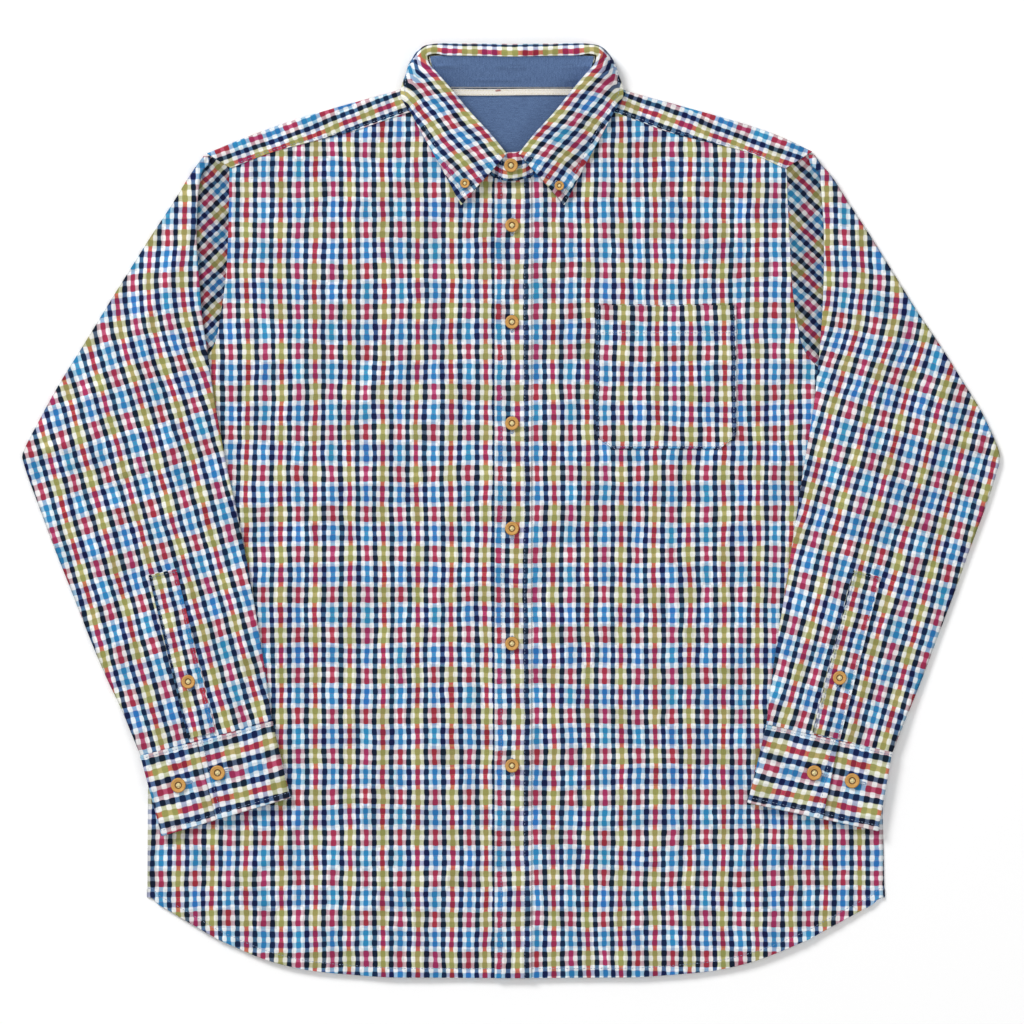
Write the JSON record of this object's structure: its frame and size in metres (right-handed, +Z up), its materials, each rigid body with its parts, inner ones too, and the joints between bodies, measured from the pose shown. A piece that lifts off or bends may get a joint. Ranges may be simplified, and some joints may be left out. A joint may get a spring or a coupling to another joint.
{
  "type": "button-up shirt",
  "caption": "Long-sleeved button-up shirt in a multicoloured small check, lying flat, with button-down collar, chest pocket, wooden buttons and plain chambray neck lining.",
  "frame": {"origin": "middle of the shirt's footprint, on the surface it lies on", "axes": "+Z up from the surface, out of the shirt's front; +Y towards the collar; +X towards the wearer's left side"},
  "size_m": [0.8604, 0.821, 0.0263],
  "materials": {
    "check_cotton": "matte woven cotton, small multicoloured check",
    "chambray": "matte plain blue chambray",
    "tape": "matte cream twill tape",
    "button_wood": "satin pale wood with a darker rim"
  },
  "bodies": {
    "root": {"back": "check_cotton", "yoke": "check_cotton", "yoke_lining": "chambray", "neck_tape": "tape", "front_right": "check_cotton", "front_left": "check_cotton", "placket": "check_cotton", "pocket": "check_cotton", "collar_band": "check_cotton", "collar_band_facing": "chambray", "collar_leaf": "check_cotton", "sleeve_right": "check_cotton", "sleeve_left": "check_cotton", "sleeve_placket_right": "check_cotton", "sleeve_placket_left": "check_cotton", "cuff_right": "check_cotton", "cuff_left": "check_cotton", "button_1": "button_wood", "button_2": "button_wood", "button_3": "button_wood", "button_4": "button_wood", "button_5": "button_wood", "button_6": "button_wood", "button_band": "button_wood", "button_point_right": "button_wood", "button_point_left": "button_wood", "button_sleeve_right": "button_wood", "button_sleeve_left": "button_wood", "button_cuff_right_1": "button_wood", "button_cuff_right_2": "button_wood", "button_cuff_left_1": "button_wood", "button_cuff_left_2": "button_wood"}
  },
  "joints": []
}
